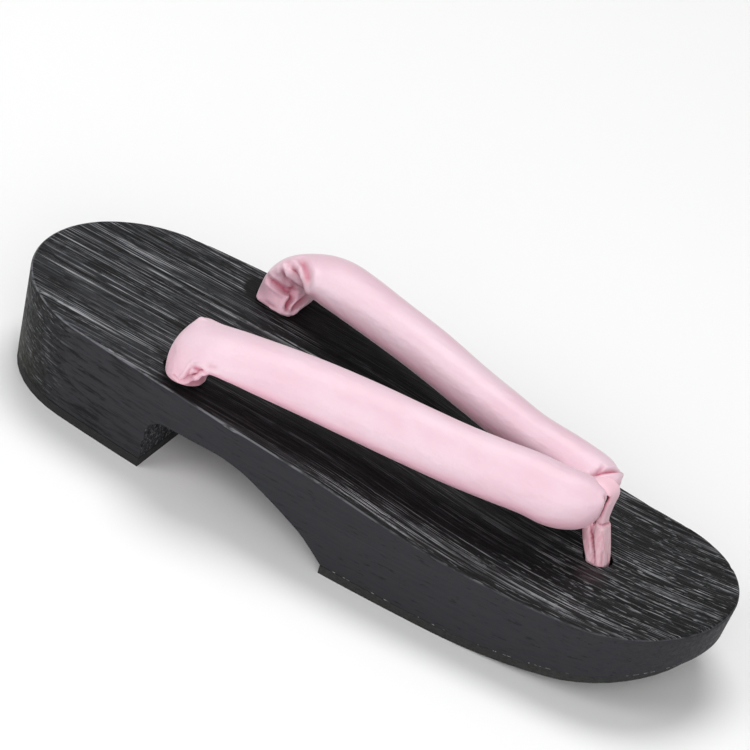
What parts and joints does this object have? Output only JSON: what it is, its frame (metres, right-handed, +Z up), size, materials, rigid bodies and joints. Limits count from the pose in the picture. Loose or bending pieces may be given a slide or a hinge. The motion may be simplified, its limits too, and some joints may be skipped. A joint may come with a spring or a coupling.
{
  "type": "geta sandal",
  "caption": "Wooden thong sandal with a heel block, a scooped arch, rubber under heel and forefoot, and a padded V strap held by a front loop.",
  "frame": {"origin": "on the floor, under the middle of the sandal's box", "axes": "+X points to the toe, +Y to one side, +Z up"},
  "size_m": [0.24, 0.0896, 0.0555],
  "materials": {
    "black_wood": "charred and brushed, matt black with pale grain lines",
    "heel_rubber": "matt black",
    "forefoot_rubber": "matt black",
    "strap_satin": "pale pink satin over padding",
    "loop_fabric": "pale pink cloth band"
  },
  "bodies": {
    "root": {"wooden_base": "black_wood", "heel_rubber": "heel_rubber", "forefoot_rubber": "forefoot_rubber", "strap": "strap_satin", "front_loop": "loop_fabric"}
  },
  "joints": []
}
